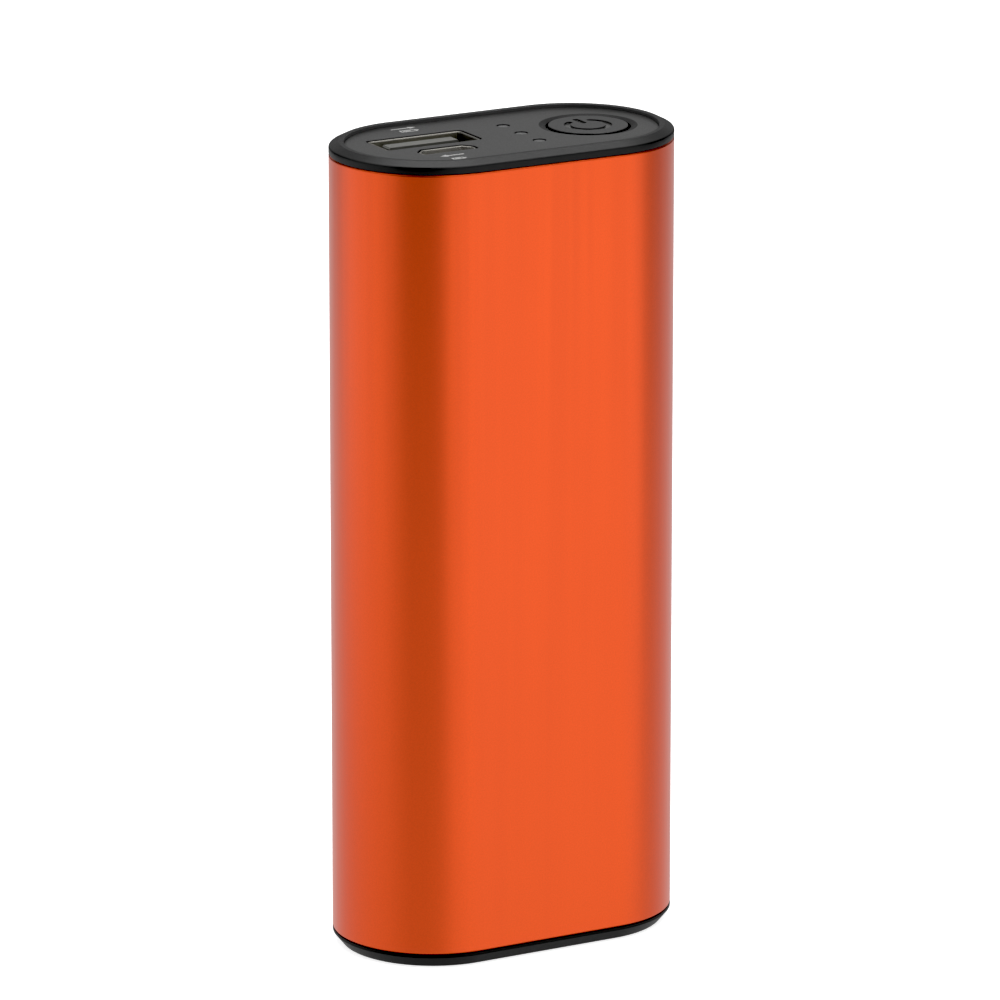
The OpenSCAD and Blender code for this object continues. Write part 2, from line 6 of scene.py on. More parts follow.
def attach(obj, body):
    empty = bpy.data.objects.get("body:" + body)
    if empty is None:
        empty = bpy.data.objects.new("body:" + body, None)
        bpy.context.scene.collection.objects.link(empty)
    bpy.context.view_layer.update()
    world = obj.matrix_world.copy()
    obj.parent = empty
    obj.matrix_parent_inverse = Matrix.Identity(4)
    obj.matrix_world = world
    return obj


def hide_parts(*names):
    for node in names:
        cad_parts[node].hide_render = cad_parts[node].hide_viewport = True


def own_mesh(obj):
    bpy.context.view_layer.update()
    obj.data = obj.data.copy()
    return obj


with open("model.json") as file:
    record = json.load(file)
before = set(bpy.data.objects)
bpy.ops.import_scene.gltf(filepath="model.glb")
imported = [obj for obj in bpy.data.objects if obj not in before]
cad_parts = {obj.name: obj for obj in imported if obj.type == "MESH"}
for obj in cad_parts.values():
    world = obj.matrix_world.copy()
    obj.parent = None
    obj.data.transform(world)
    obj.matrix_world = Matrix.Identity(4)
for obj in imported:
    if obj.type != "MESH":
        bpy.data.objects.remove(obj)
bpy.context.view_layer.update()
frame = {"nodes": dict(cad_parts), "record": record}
NODES = frame["nodes"]
MM = 0.001

# ------------------------------------------------------------------ sizes, in millimetres
A, R = 9.9, 12.7                      # outline: half circles of radius R, centres A to each side
RI = 11.5
Z_TUBE0, Z_TUBE1 = 1.8, 101.5
Z_CREST, Z_PLATE = 103.0, 102.55
Z_DECK1, Z_DECK0 = 101.75, 100.3
Z_SKIRT0 = 95.5
PLATE_R = 10.8
SKIRT_R, SKIRT_IN = 11.42, 10.2
Z_RIM = 102.46
PORT_X, BOARD_Y, USB_Y = -9.8, -2.25, 2.2
BUTTON_X = 12.2
LAMP_X, LAMP_PITCH = 2.7, 4.6
FOOT_PLATE_R = 10.7


# ------------------------------------------------------------------ outlines
def circle(x, y, r, n=48):
    return [(x + r * math.cos(2 * math.pi * i / n), y + r * math.sin(2 * math.pi * i / n)) for i in range(n)]


def stadium(r, n=64, k=10):
    """Obround outline of radius r, anticlockwise from the lower end of the right-hand half circle."""
    pts = [(A + r * math.sin(math.pi * i / n), -r * math.cos(math.pi * i / n)) for i in range(n + 1)]
    pts += [(A - 2 * A * i / k, r) for i in range(1, k)]
    pts += [(-A - r * math.sin(math.pi * i / n), r * math.cos(math.pi * i / n)) for i in range(n + 1)]
    pts += [(-A + 2 * A * i / k, -r) for i in range(1, k)]
    return pts


def rounded(cx, cy, w, h, r, n=8):
    pts = []
    for q, (sx, sy) in enumerate(((1, 1), (-1, 1), (-1, -1), (1, -1))):
        for i in range(n + 1):
            t = math.pi / 2 * (q + i / n)
            pts.append((cx + sx * (w / 2 - r) + r * math.cos(t), cy + sy * (h / 2 - r) + r * math.sin(t)))
    return pts


def usb_a(c, r):
    return rounded(PORT_X, USB_Y, 13.1 + 2 * c, 5.7 + 2 * c, r)


def micro(c, k):
    """Outline of the small socket grown by c: wide side to the front, narrow side on the board."""
    p = [(-3.75 - c + k, -2.45 - c), (3.75 + c - k, -2.45 - c), (3.75 + c, -2.45 - c + k), (3.75 + c, -1.15 + 0.4 * c),
         (3.6 + c, -0.95 + 0.5 * c), (2.85 + 0.5 * c, -0.1 + 0.9 * c), (2.6 + 0.4 * c, c), (-2.6 - 0.4 * c, c),
         (-2.85 - 0.5 * c, -0.1 + 0.9 * c), (-3.6 - c, -0.95 + 0.5 * c), (-3.75 - c, -1.15 + 0.4 * c), (-3.75 - c, -2.45 - c + k)]
    return soften([(PORT_X + x, BOARD_Y + y) for x, y in p], 0.35)


def soften(pts, share):
    """Cuts each corner of a closed outline twice, so that it reads as round."""
    for _ in range(2):
        out = []
        for i, p in enumerate(pts):
            a, b = pts[i - 1], pts[(i + 1) % len(pts)]
            for q in (a, b):
                d = math.dist(p, q)
                t = min(share * 0.5, 0.12 / max(d, 1e-6))
                out.append((p[0] + (q[0] - p[0]) * t, p[1] + (q[1] - p[1]) * t))
        pts = out
    return pts


def fillet(profile, radii, seg=4):
    """Rounds the corners of an open (r, z) profile; radii maps a corner's index to its radius."""
    out = []
    for i, p in enumerate(profile):
        r = radii.get(i, 0)
        if not r or i in (0, len(profile) - 1):
            out.append(p)
            continue
        a, b = Vector(profile[i - 1]), Vector(profile[i + 1])
        v = Vector(p)
        da, db = (a - v).normalized(), (b - v).normalized()
        half = math.acos(max(-1, min(1, da.dot(db)))) / 2
        t = min(r / math.tan(half), (a - v).length * 0.49, (b - v).length * 0.49)
        rr = t * math.tan(half)
        c = v + (da + db).normalized() * (rr / math.sin(half))
        s, e = v + da * t, v + db * t
        a0, a1 = math.atan2(s.y - c.y, s.x - c.x), math.atan2(e.y - c.y, e.x - c.x)
        while a1 - a0 > math.pi:
            a1 -= 2 * math.pi
        while a1 - a0 < -math.pi:
            a1 += 2 * math.pi
        out += [(c.x + rr * math.cos(a0 + (a1 - a0) * k / seg), c.y + rr * math.sin(a0 + (a1 - a0) * k / seg)) for k in range(seg + 1)]
    return out


# ------------------------------------------------------------------ mesh building
class Solid:
    def __init__(self):
        self.v, self.f, self.m = [], [], []

    def loop(self, pts, z):
        n = len(self.v)
        self.v += [(p[0], p[1], z) for p in pts]
        return list(range(n, n + len(pts)))

    def bridge(self, a, b, mat=0):
        for i in range(len(a)):
            j = (i + 1) % len(a)
            self.f.append((a[i], a[j], b[j], b[i]))
            self.m.append(mat)

    def chain(self, loops, mat=0):
        for a, b in zip(loops[:-1], loops[1:]):
            self.bridge(a, b, mat)

    def fan(self, a, mat=0):
        self.f.append(tuple(a))
        self.m.append(mat)

    def fill(self, outer, holes=(), mat=0):
        """Fills a flat outline, less its holes, with triangles."""
        idx = list(outer) + [i for h in holes for i in h]
        co = [Vector(self.v[i][:2]) for i in idx]
        at = {v: k for k, v in enumerate(idx)}
        edges = []
        for lp in [outer, *holes]:
            edges += [(at[lp[k]], at[lp[(k + 1) % len(lp)]]) for k in range(len(lp))]
        _, _, tris, orig, _, _ = delaunay_2d_cdt(co, edges, [], 1, 1e-7)
        polys = [[co[at[i]] for i in h] for h in holes]
        for t in tris:
            k = [orig[x][0] for x in t]
            c = sum((co[x] for x in k), Vector((0, 0))) / 3
            if any(inside(c, p) for p in polys):
                continue
            self.f.append(tuple(idx[x] for x in k))
            self.m.append(mat)

    def sweep(self, profile, outline, mat=0):
        """Loops of outline(r) at each (r, z) of the profile, joined up. Gives the loops back."""
        loops = [self.loop(outline(r), z) for r, z in profile]
        self.chain(loops, mat)
        return loops

    def box(self, x0, x1, y0, y1, z0, z1, mat=0):
        a = self.loop([(x0, y0), (x1, y0), (x1, y1), (x0, y1)], z0)
        b = self.loop([(x0, y0), (x1, y0), (x1, y1), (x0, y1)], z1)
        self.bridge(a, b, mat)
        self.fan(a, mat)
        self.fan(b, mat)

    def strip(self, a, b, x0, x1, mat=0):
        """Bent sheet between the (y, z) lines a and b, from x0 to x1."""
        n, k = len(self.v), len(a)
        for x in (x0, x1):
            self.v += [(x, *p) for p in a] + [(x, *p) for p in b]
        a0, b0, a1, b1 = (list(range(n + j * k, n + (j + 1) * k)) for j in range(4))
        new = [(a0[0], b0[0], b1[0], a1[0]), (a0[-1], b0[-1], b1[-1], a1[-1])]
        for i in range(k - 1):
            new += [(a0[i], a0[i + 1], b0[i + 1], b0[i]), (a1[i], a1[i + 1], b1[i + 1], b1[i]),
                    (a0[i], a0[i + 1], a1[i + 1], a1[i]), (b0[i], b0[i + 1], b1[i + 1], b1[i])]
        self.f += new
        self.m += [mat] * len(new)

    def prism(self, pts, z0, z1, mat=0):
        a, b = self.loop(pts, z0), self.loop(pts, z1)
        self.bridge(a, b, mat)
        self.fill(a, mat=mat)
        self.fill(b, mat=mat)

    def frame(self, outer, inner, z0, z1, mat=0):
        """Flat ring between two outlines with the same number of points."""
        loops = [self.loop(outer, z0), self.loop(outer, z1), self.loop(inner, z1), self.loop(inner, z0)]
        self.chain(loops + loops[:1], mat)

    def make(self, name, mats, body, nodes=(), sharp=38):
        me = bpy.data.meshes.new(name)
        me.from_pydata([tuple(c * MM for c in v) for v in self.v], [], self.f)
        for p, m in zip(me.polygons, self.m):
            p.material_index = m
        o = bpy.data.objects.new(name, me)
        bpy.context.scene.collection.objects.link(o)
        for m in mats:
            me.materials.append(m)
        dress(o, sharp)
        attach(o, body)
        if nodes:
            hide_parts(*nodes)
        return o


def inside(p, poly):
    hit = False
    for i in range(len(poly)):
        a, b = poly[i - 1], poly[i]
        if (a.y > p.y) != (b.y > p.y) and p.x < (b.x - a.x) * (p.y - a.y) / (b.y - a.y) + a.x:
            hit = not hit
    return hit


def dress(o, sharp=38):
    """Normals outwards, smooth shading that breaks at sharp edges, flat faces kept flat."""
    bm = bmesh.new()
    bm.from_mesh(o.data)
    bmesh.ops.recalc_face_normals(bm, faces=bm.faces)
    lim = math.radians(sharp)
    for f in bm.faces:
        f.smooth = True
    for e in bm.edges:
        e.smooth = not (len(e.link_faces) == 2 and e.calc_face_angle(0) > lim)
    bm.to_mesh(o.data)
    bm.free()
    w = o.modifiers.new("normals", "WEIGHTED_NORMAL")
    w.keep_sharp = True
    w.weight = 100


# ------------------------------------------------------------------ materials
def new_mat(name):
    m = bpy.data.materials.new(name)
    m.use_nodes = True
    nt = m.node_tree
    return m, nt, nt.nodes["Principled BSDF"]


def coords(nt, scale):
    tc = nt.nodes.new("ShaderNodeTexCoord")
    mp = nt.nodes.new("ShaderNodeMapping")
    mp.inputs["Scale"].default_value = scale
    nt.links.new(tc.outputs["Object"], mp.inputs["Vector"])
    return mp.outputs["Vector"]


def noise(nt, vec, scale, detail=3.0, rough=0.5):
    n = nt.nodes.new("ShaderNodeTexNoise")
    n.inputs["Scale"].default_value = scale
    n.inputs["Detail"].default_value = detail
    n.inputs["Roughness"].default_value = rough
    nt.links.new(vec, n.inputs["Vector"])
    return n.outputs["Fac"]


def ramp(nt, fac, stops):
    r = nt.nodes.new("ShaderNodeValToRGB")
    e = r.color_ramp.elements
    e[0].position, e[0].color = stops[0][0], (*stops[0][1], 1)
    e[1].position, e[1].color = stops[-1][0], (*stops[-1][1], 1)
    for pos, c in stops[1:-1]:
        k = e.new(pos)
        k.color = (*c, 1)
    nt.links.new(fac, r.inputs["Fac"])
    return r.outputs["Color"]


def span(nt, fac, lo, hi, a=0.3, b=0.7):
    r = nt.nodes.new("ShaderNodeMapRange")
    r.inputs["From Min"].default_value, r.inputs["From Max"].default_value = a, b
    r.inputs["To Min"].default_value, r.inputs["To Max"].default_value = lo, hi
    nt.links.new(fac, r.inputs["Value"])
    return r.outputs["Result"]


def bump(nt, height, strength, dist, before=None):
    b = nt.nodes.new("ShaderNodeBump")
    b.inputs["Strength"].default_value = strength
    b.inputs["Distance"].default_value = dist
    nt.links.new(height, b.inputs["Height"])
    if before is not None:
        nt.links.new(before, b.inputs["Normal"])
    return b.outputs["Normal"]


def mixed(nt, fac, a, b):
    """Colour a where fac is 0, colour b where it is 1; a and b are sockets or colours."""
    m = nt.nodes.new("ShaderNodeMix")
    m.data_type = "RGBA"
    nt.links.new(fac, m.inputs["Factor"])
    for sock, val in ((m.inputs[6], a), (m.inputs[7], b)):
        if isinstance(val, tuple):
            sock.default_value = (*val, 1)
        else:
            nt.links.new(val, sock)
    return m.outputs[2]


def shade(c, k):
    return tuple(min(1.0, x * k) for x in c)


def plain(name, colour, rough, metal=0.0, grain=900.0, grain_bump=0.25, vary=0.12, spec=0.5, coat=0.0, alpha=1.0, transmission=0.0, cloud=60.0):
    """Moulded, drawn or painted surface: soft colour drift, grain in roughness and bump."""
    m, nt, p = new_mat(name)
    vec = coords(nt, (1, 1, 1))
    big = noise(nt, vec, cloud, 3)
    fine = noise(nt, vec, grain, 4, 0.6)
    nt.links.new(ramp(nt, big, [(0.3, shade(colour, 1 - vary)), (0.7, shade(colour, 1 + vary))]), p.inputs["Base Color"])
    nt.links.new(span(nt, fine, rough * 0.88, min(1.0, rough * 1.12)), p.inputs["Roughness"])
    nt.links.new(bump(nt, fine, grain_bump, 0.00002), p.inputs["Normal"])
    p.inputs["Metallic"].default_value = metal
    p.inputs["Specular IOR Level"].default_value = spec
    p.inputs["Coat Weight"].default_value = coat
    p.inputs["Transmission Weight"].default_value = transmission
    return m


def anodised(name):
    """Bead-blasted, orange-dyed anodised aluminium with the faint lines of an extrusion along its length."""
    m, nt, p = new_mat(name)
    grain = noise(nt, coords(nt, (1, 1, 1)), 5200, 2, 0.55)
    lines = noise(nt, coords(nt, (900, 900, 9)), 1.0, 3, 0.5)
    cloud = noise(nt, coords(nt, (1, 1, 0.5)), 38, 2, 0.5)
    colour = ramp(nt, cloud, [(0.3, (0.82, 0.0855, 0.0056)), (0.7, (0.86, 0.092, 0.0066))])
    speck = mixed(nt, span(nt, grain, 0.0, 1.0, 0.35, 0.65), (0.93, 0.93, 0.93), (1.0, 1.0, 1.0))
    mul = nt.nodes.new("ShaderNodeMix")
    mul.data_type, mul.blend_type = "RGBA", "MULTIPLY"
    mul.inputs["Factor"].default_value = 1.0
    nt.links.new(colour, mul.inputs[6])
    nt.links.new(speck, mul.inputs[7])
    nt.links.new(mul.outputs[2], p.inputs["Base Color"])
    p.inputs["Metallic"].default_value = 1.0
    add = nt.nodes.new("ShaderNodeMath")
    add.operation = "ADD"
    nt.links.new(span(nt, grain, -0.03, 0.03), add.inputs[0])
    nt.links.new(span(nt, lines, 0.325, 0.385), add.inputs[1])
    nt.links.new(add.outputs[0], p.inputs["Roughness"])
    n1 = bump(nt, lines, 0.05, 0.00001)
    n2 = bump(nt, grain, 0.22, 0.00001, n1)
    nt.links.new(n2, p.inputs["Normal"])
    # the clear oxide over the dye mirrors a little white light
    p.inputs["Coat Weight"].default_value = 0.85
    p.inputs["Coat Roughness"].default_value = 0.35
    p.inputs["Coat IOR"].default_value = 1.5
    nt.links.new(n2, p.inputs["Coat Normal"])
    return m


MAT = {
    "anodised_orange": anodised("anodised_orange"),
    "cap_black": plain("cap_black", (0.006, 0.006, 0.006), 0.40, grain=5200, grain_bump=0.3, vary=0.1, spec=0.37),
    # lighter copy of the cap's black plastic for the recess wall round the face plate: painted light
    "cap_wall": plain("cap_wall", (0.1, 0.1, 0.1), 0.5, grain=5200, grain_bump=0.3, vary=0.1, spec=0.39),
    # copy of the cap plastic with a lower specular level, which darkens the table it mirrors near the foot: painted
    # shade
    "foot_cap_painted_shade": plain("foot_cap_painted_shade", (0.006, 0.006, 0.006), 0.45, grain=5200, grain_bump=0.3, vary=0.1, spec=0.2),
    "plate_grey": plain("plate_grey", (0.038, 0.038, 0.0375), 0.35, grain=5200, grain_bump=0.3, vary=0.06, spec=0.47),
    "button_grey": plain("button_grey", (0.03, 0.03, 0.03), 0.35, grain=5200, grain_bump=0.25, vary=0.06, spec=0.44),
    "mark_floor": plain("mark_floor", (0.05, 0.05, 0.049), 0.24, grain=2500, grain_bump=0.08, vary=0.05),
    # black copy of the plate plastic for the countersink ring round the button: painted shade
    "well_painted_shade": plain("well_painted_shade", (0.006, 0.006, 0.006), 0.45, grain=5200, grain_bump=0.3, vary=0.1, spec=0.27),
    "print_white": plain("print_white", (0.52, 0.52, 0.51), 0.5, grain=4000, grain_bump=0.2, vary=0.08),
    "foot_black": plain("foot_black", (0.02, 0.02, 0.021), 0.6, grain=2600, grain_bump=0.5, vary=0.15),
    "clear_lens": plain("clear_lens", (0.16, 0.16, 0.16), 0.34, grain=2500, grain_bump=0.1, vary=0.05, transmission=0.15),
    "socket_steel": plain("socket_steel", (0.25, 0.242, 0.222), 0.4, metal=1.0, grain=3000, grain_bump=0.15, vary=0.08, cloud=400),
    # duller, partly diffuse copy of the socket steel for the large socket's inner walls, set so they catch the top
    # lights: painted light
    "socket_inner_painted_light": plain("socket_inner_painted_light", (0.23, 0.222, 0.18), 0.6, metal=0.7, grain=3000, grain_bump=0.3, vary=0.15, cloud=400),
    # dark copy of the socket steel for the far right end of the large socket's cavity: painted shade
    "socket_end_painted_shade": plain("socket_end_painted_shade", (0.1, 0.097, 0.085), 0.6, metal=0.5, grain=3000, grain_bump=0.3, vary=0.15, spec=0.5, cloud=400),
    # lighter, duller copy of the socket steel for the small socket's inner wall: painted light
    "socket_small_painted_light": plain("socket_small_painted_light", (0.42, 0.41, 0.38), 0.6, metal=0.7, grain=3000, grain_bump=0.3, vary=0.15, cloud=400),
    "socket_black": plain("socket_black", (0.165, 0.165, 0.153), 0.45, grain=3000, grain_bump=0.2),
    "contact_gold": plain("contact_gold", (0.83, 0.55, 0.2), 0.25, metal=1.0, grain=2000, grain_bump=0.05, vary=0.06, cloud=500),
    "chip_black": plain("chip_black", (0.022, 0.022, 0.023), 0.6, grain=4000, grain_bump=0.5),
    "plunger_black": plain("plunger_black", (0.03, 0.03, 0.03), 0.45, grain=3000),
    "spring_steel": plain("spring_steel", (0.62, 0.62, 0.62), 0.28, metal=1.0, grain=1800, grain_bump=0.12, cloud=300),
    "led_white": plain("led_white", (0.85, 0.8, 0.55), 0.3, grain=1500, grain_bump=0.1),
    "ferrite_grey": plain("ferrite_grey", (0.07, 0.07, 0.075), 0.7, grain=2600, grain_bump=0.8, vary=0.2, cloud=500),
    "capacitor_tan": plain("capacitor_tan", (0.33, 0.2, 0.1), 0.4, grain=2000, grain_bump=0.2),
    "carrier_white": plain("carrier_white", (0.66, 0.64, 0.57), 0.48, grain=1600, grain_bump=0.25, vary=0.04),
    "cell_can": plain("cell_can", (0.6, 0.6, 0.6), 0.3, metal=1.0, grain=900, grain_bump=0.12, cloud=120),
    "sleeve_blue": plain("sleeve_blue", (0.02, 0.11, 0.34), 0.25, grain=300, grain_bump=0.1, coat=0.2),
    "card_white": plain("card_white", (0.72, 0.72, 0.68), 0.85, grain=1400, grain_bump=0.7, vary=0.05),
    "nickel": plain("nickel", (0.6, 0.58, 0.54), 0.26, metal=1.0, grain=1300, grain_bump=0.1, cloud=200),
    "lead_red": plain("lead_red", (0.5, 0.012, 0.01), 0.42, grain=1200, grain_bump=0.2),
    "lead_black": plain("lead_black", (0.015, 0.015, 0.015), 0.42, grain=1200, grain_bump=0.2),
    "lead_grey": plain("lead_grey", (0.3, 0.3, 0.3), 0.42, grain=1200, grain_bump=0.2),
    "foam_grey": plain("foam_grey", (0.09, 0.09, 0.095), 0.95, grain=1500, grain_bump=1.0, vary=0.3, cloud=900),
    "screw_steel": plain("screw_steel", (0.3, 0.3, 0.31), 0.32, metal=1.0, grain=2000, grain_bump=0.15),
    "board_green": plain("board_green", (0.008, 0.085, 0.03), 0.32, grain=700, grain_bump=0.3, vary=0.25, cloud=250),
    "film_amber": plain("film_amber", (0.45, 0.16, 0.015), 0.22, grain=500, grain_bump=0.1, vary=0.15, cloud=150),
}

# every carried-over CAD node takes the finish of its slot
for row in frame["record"]["subparts"]:
    o = NODES[row["node"]]
    o.data.materials.clear()
    o.data.materials.append(MAT[row["material_slot"]])

# ------------------------------------------------------------------ casing
# tube: inner wall, both ends with a broken edge, outer wall
s = Solid()
prof = fillet([(RI, Z_TUBE0 + 6), (RI, Z_TUBE0), (R, Z_TUBE0), (R, Z_TUBE1), (RI, Z_TUBE1), (RI, Z_TUBE0 + 6.001)],
              {1: 0.12, 2: 0.3, 3: 0.3, 4: 0.12}, 6)
loops = [s.loop(stadium(r), z) for r, z in prof[:-1]]
s.chain(loops)
s.bridge(loops[-1], loops[0])
s.make("outer_tube_shell", [MAT["anodised_orange"]], "root", ["outer_tube"])

# top cap: skirt, rim, bevel, crest, recess, deck with its windows, posts and pillars
s = Solid()
prof = fillet([(SKIRT_IN, Z_DECK0), (SKIRT_IN, Z_SKIRT0), (SKIRT_R, Z_SKIRT0), (SKIRT_R, Z_TUBE1), (R, Z_TUBE1),
               (R, Z_TUBE1 + 0.9), (R - 1.2, Z_CREST), (PLATE_R + 0.05, Z_CREST), (PLATE_R + 0.05, Z_DECK1)],
              {1: 0.2, 2: 0.25, 4: 0.1, 5: 0.3, 6: 0.12, 7: 0.1}, 5)
loops = s.sweep(prof, stadium)
top, under = [], []
for fn in (lambda z: s.loop(usb_a(0.25, 0.8), z), lambda z: s.loop(micro(0.25, 0.4), z),
           lambda z: s.loop(circle(BUTTON_X, 0, 5.1, 96), z),
           *[lambda z, i=i: s.loop(circle(LAMP_X, i * LAMP_PITCH, 0.8, 32), z) for i in (-1, 0, 1)]):
    a, b = fn(Z_DECK1), fn(Z_DECK0)
    s.bridge(a, b)
    top.append(a)
    under.append(b)
for sy in (-1, 1):
    y = 7.6 * sy
    a, b, c, d = s.loop(circle(0, y, 1.9, 40), Z_DECK1), s.loop(circle(0, y, 1.9, 40), 100.6), s.loop(circle(0, y, 1.15, 40), 100.6), s.loop(circle(0, y, 1.15, 40), 99.3)
    e, f = s.loop(circle(0, y, 2.2, 40), 99.3), s.loop(circle(0, y, 2.2, 40), Z_DECK0)
    s.chain([a, b, c, d, e, f])
    top.append(a)
    under.append(f)
for x, y, hole in ((4.8, 7.4, True), (4.8, -7.4, False), (15, 7, False), (15, -7, True)):
    merged = x > 10   # these two run into the skirt, so their tops end inside the deck
    f, e = s.loop(circle(x, y, 1.7, 32), Z_DECK0 + 0.4 * merged), s.loop(circle(x, y, 1.7, 32), 93.3)
    s.bridge(f, e)
    if merged:
        s.fan(f)
    else:
        under.append(f)
    if hole:
        d, c = s.loop(circle(x, y, 0.6, 32), 93.3), s.loop(circle(x, y, 0.6, 32), Z_DECK0 - 1.3)
        s.chain([e, d, c])
        s.fan(c)
    else:
        s.fan(e)
for sx in (-1, 1):
    for sy in (-1, 1):
        x, y = BUTTON_X + sx * 6.35, sy * 1.35
        q = [(x - 0.65, y - 0.35), (x + 0.65, y - 0.35), (x + 0.65, y + 0.35), (x - 0.65, y + 0.35)]
        f, e = s.loop(q, Z_DECK0), s.loop(q, Z_DECK0 - 1.3)
        s.bridge(f, e)
        s.fan(e)
        under.append(f)
s.fill(loops[-1], top)
s.fill(loops[0], under)
# the recess wall, and the deck top under the plate, take the lighter copy of the cap plastic: painted light on the
# wall
s.m = [int(min(s.v[i][2] for i in f) > Z_PLATE - 0.9 and max(math.hypot(max(abs(s.v[i][0]) - A, 0), s.v[i][1]) for i in f) < PLATE_R + 0.1) for f in s.f]
s.make("top_cap_moulding", [MAT["cap_black"], MAT["cap_wall"]], "root", ["top_cap"])

# face plate: flat inlay with crisp windows, lamp holes and the countersunk well
s = Solid()
edge = fillet([(PLATE_R, Z_PLATE - 0.7), (PLATE_R, Z_PLATE), (PLATE_R - 0.3, Z_PLATE)], {1: 0.1}, 4)
loops = s.sweep(edge, stadium)
top, under = [], []
for fn in (lambda c, z: s.loop(usb_a(0.2 + c, 0.7 + c), z), lambda c, z: s.loop(micro(0.2 + c, 0.3), z),
           *[lambda c, z, i=i: s.loop(circle(LAMP_X, i * LAMP_PITCH, 0.85 + c, 40), z) for i in (-1, 0, 1)]):
    ring = [fn(c, z) for c, z in ((0.12, Z_PLATE), (0.05, Z_PLATE), (0.025, Z_PLATE - 0.01), (0.007, Z_PLATE - 0.03), (0.0, Z_PLATE - 0.06), (0.0, Z_PLATE - 0.7))]
    s.chain(ring)
    top.append(ring[0])
    under.append(ring[-1])
well = fillet([(5.3, Z_PLATE - 0.7), (5.3, Z_PLATE - 0.2), (5.95, Z_PLATE), (6.15, Z_PLATE)], {1: 0.05, 2: 0.25}, 3)
ring = [s.loop(circle(BUTTON_X, 0, r, 128), z) for r, z in well]
# the countersink faces take the black copy of the plate plastic: painted shade round the button well
s.chain(ring, 2)
top.append(ring[-1])
under.append(ring[0])
s.fill(loops[-1], top)
s.fill(loops[0], under)
# printed marks: charge flows out of the large socket and into the small one
Z0, Z1 = Z_PLATE - 0.02, Z_PLATE + 0.012
for x0, x1, y in ((-10.7, -7.3, 9.1), (-9.1, -12.35, -6.75)):
    d = 1 if x1 > x0 else -1
    s.prism([(x0, y - 0.15), (x1 - 0.95 * d, y - 0.15), (x1 - 0.95 * d, y - 0.5), (x1, y), (x1 - 0.95 * d, y + 0.5), (x1 - 0.95 * d, y + 0.15), (x0, y + 0.15)], Z0, Z1, 1)
for x, y, w, h in ((-9.0, 7.65, 2.3, 1.0), (-10.85, -8.6, 1.7, 0.9)):
    s.frame(rounded(x, y, w, h, 0.2, 4), rounded(x, y, w - 0.44, h - 0.44, 0.06, 4), Z0, Z1, 1)
    s.box(x + w / 2 + 0.06, x + w / 2 + 0.24, y - 0.2, y + 0.2, Z0, Z1, 1)
    s.box(x - w / 2 + 0.4, x - w / 2 + 0.4 + 0.45 * w, y - 0.13, y + 0.13, Z0, Z1, 1)
s.make("face_plate_inlay", [MAT["plate_grey"], MAT["print_white"], MAT["well_painted_shade"]], "root", ["face_plate"])

# bottom cap: foot rim, bevel, skirt, floor with bosses
s = Solid()
prof = fillet([(FOOT_PLATE_R + 0.05, 1.05), (FOOT_PLATE_R + 0.05, 0), (R - 1.15, 0), (R, Z_TUBE0 - 0.4), (R, Z_TUBE0), (SKIRT_R, Z_TUBE0),
               (SKIRT_R, 5.2), (SKIRT_IN, 5.2), (SKIRT_IN, 2.6)], {1: 0.08, 2: 0.1, 3: 0.08, 4: 0.05, 6: 0.25, 7: 0.2}, 4)
loops = s.sweep(prof, stadium)
low, high = [], []
for sy in (-1, 1):
    y = 7.6 * sy
    ring = [s.loop(circle(0, y, r, 40), z) for r, z in ((1.95, 1.05), (1.95, 2.25), (1.25, 2.25), (1.25, 3.4), (2.5, 3.4), (2.5, 2.6))]
    s.chain(ring)
    low.append(ring[0])
    high.append(ring[-1])
s.fill(loops[0], low)
s.fill(loops[-1], high)
# the bottom cap takes the copy of the cap plastic with weaker reflection: painted shade in its reflection
s.make("bottom_cap_moulding", [MAT["foot_cap_painted_shade"]], "root", ["bottom_cap"])

# bottom plate
s = Solid()
prof = fillet([(FOOT_PLATE_R - 0.6, 0.25), (FOOT_PLATE_R, 0.25), (FOOT_PLATE_R, 0.95), (FOOT_PLATE_R - 0.6, 0.95)], {1: 0.15, 2: 0.05}, 4)
loops = s.sweep(prof, stadium)
s.fan(loops[0])
s.fan(loops[-1])
s.make("bottom_plate_inlay", [MAT["foot_black"]], "root", ["bottom_plate"])


# ------------------------------------------------------------------ power button
def ring_mark(cx, cy, r, w, gap, n=48):
    """Open ring with round ends, its gap towards +Y."""
    deg = math.radians
    out = [(cx + (r + w / 2) * math.cos(deg(90 + gap + (360 - 2 * gap) * i / n)), cy + (r + w / 2) * math.sin(deg(90 + gap + (360 - 2 * gap) * i / n))) for i in range(n + 1)]
    t = 90 - gap
    out += [(cx + r * math.cos(deg(t)) + w / 2 * math.cos(deg(t + 180 * i / 8)), cy + r * math.sin(deg(t)) + w / 2 * math.sin(deg(t + 180 * i / 8))) for i in range(1, 8)]
    out += [(cx + (r - w / 2) * math.cos(deg(90 + gap + (360 - 2 * gap) * (n - i) / n)), cy + (r - w / 2) * math.sin(deg(90 + gap + (360 - 2 * gap) * (n - i) / n))) for i in range(n + 1)]
    t = 90 + gap
    out += [(cx + r * math.cos(deg(t)) + w / 2 * math.cos(deg(t + 180 + 180 * i / 8)), cy + r * math.sin(deg(t)) + w / 2 * math.sin(deg(t + 180 + 180 * i / 8))) for i in range(1, 8)]
    return out


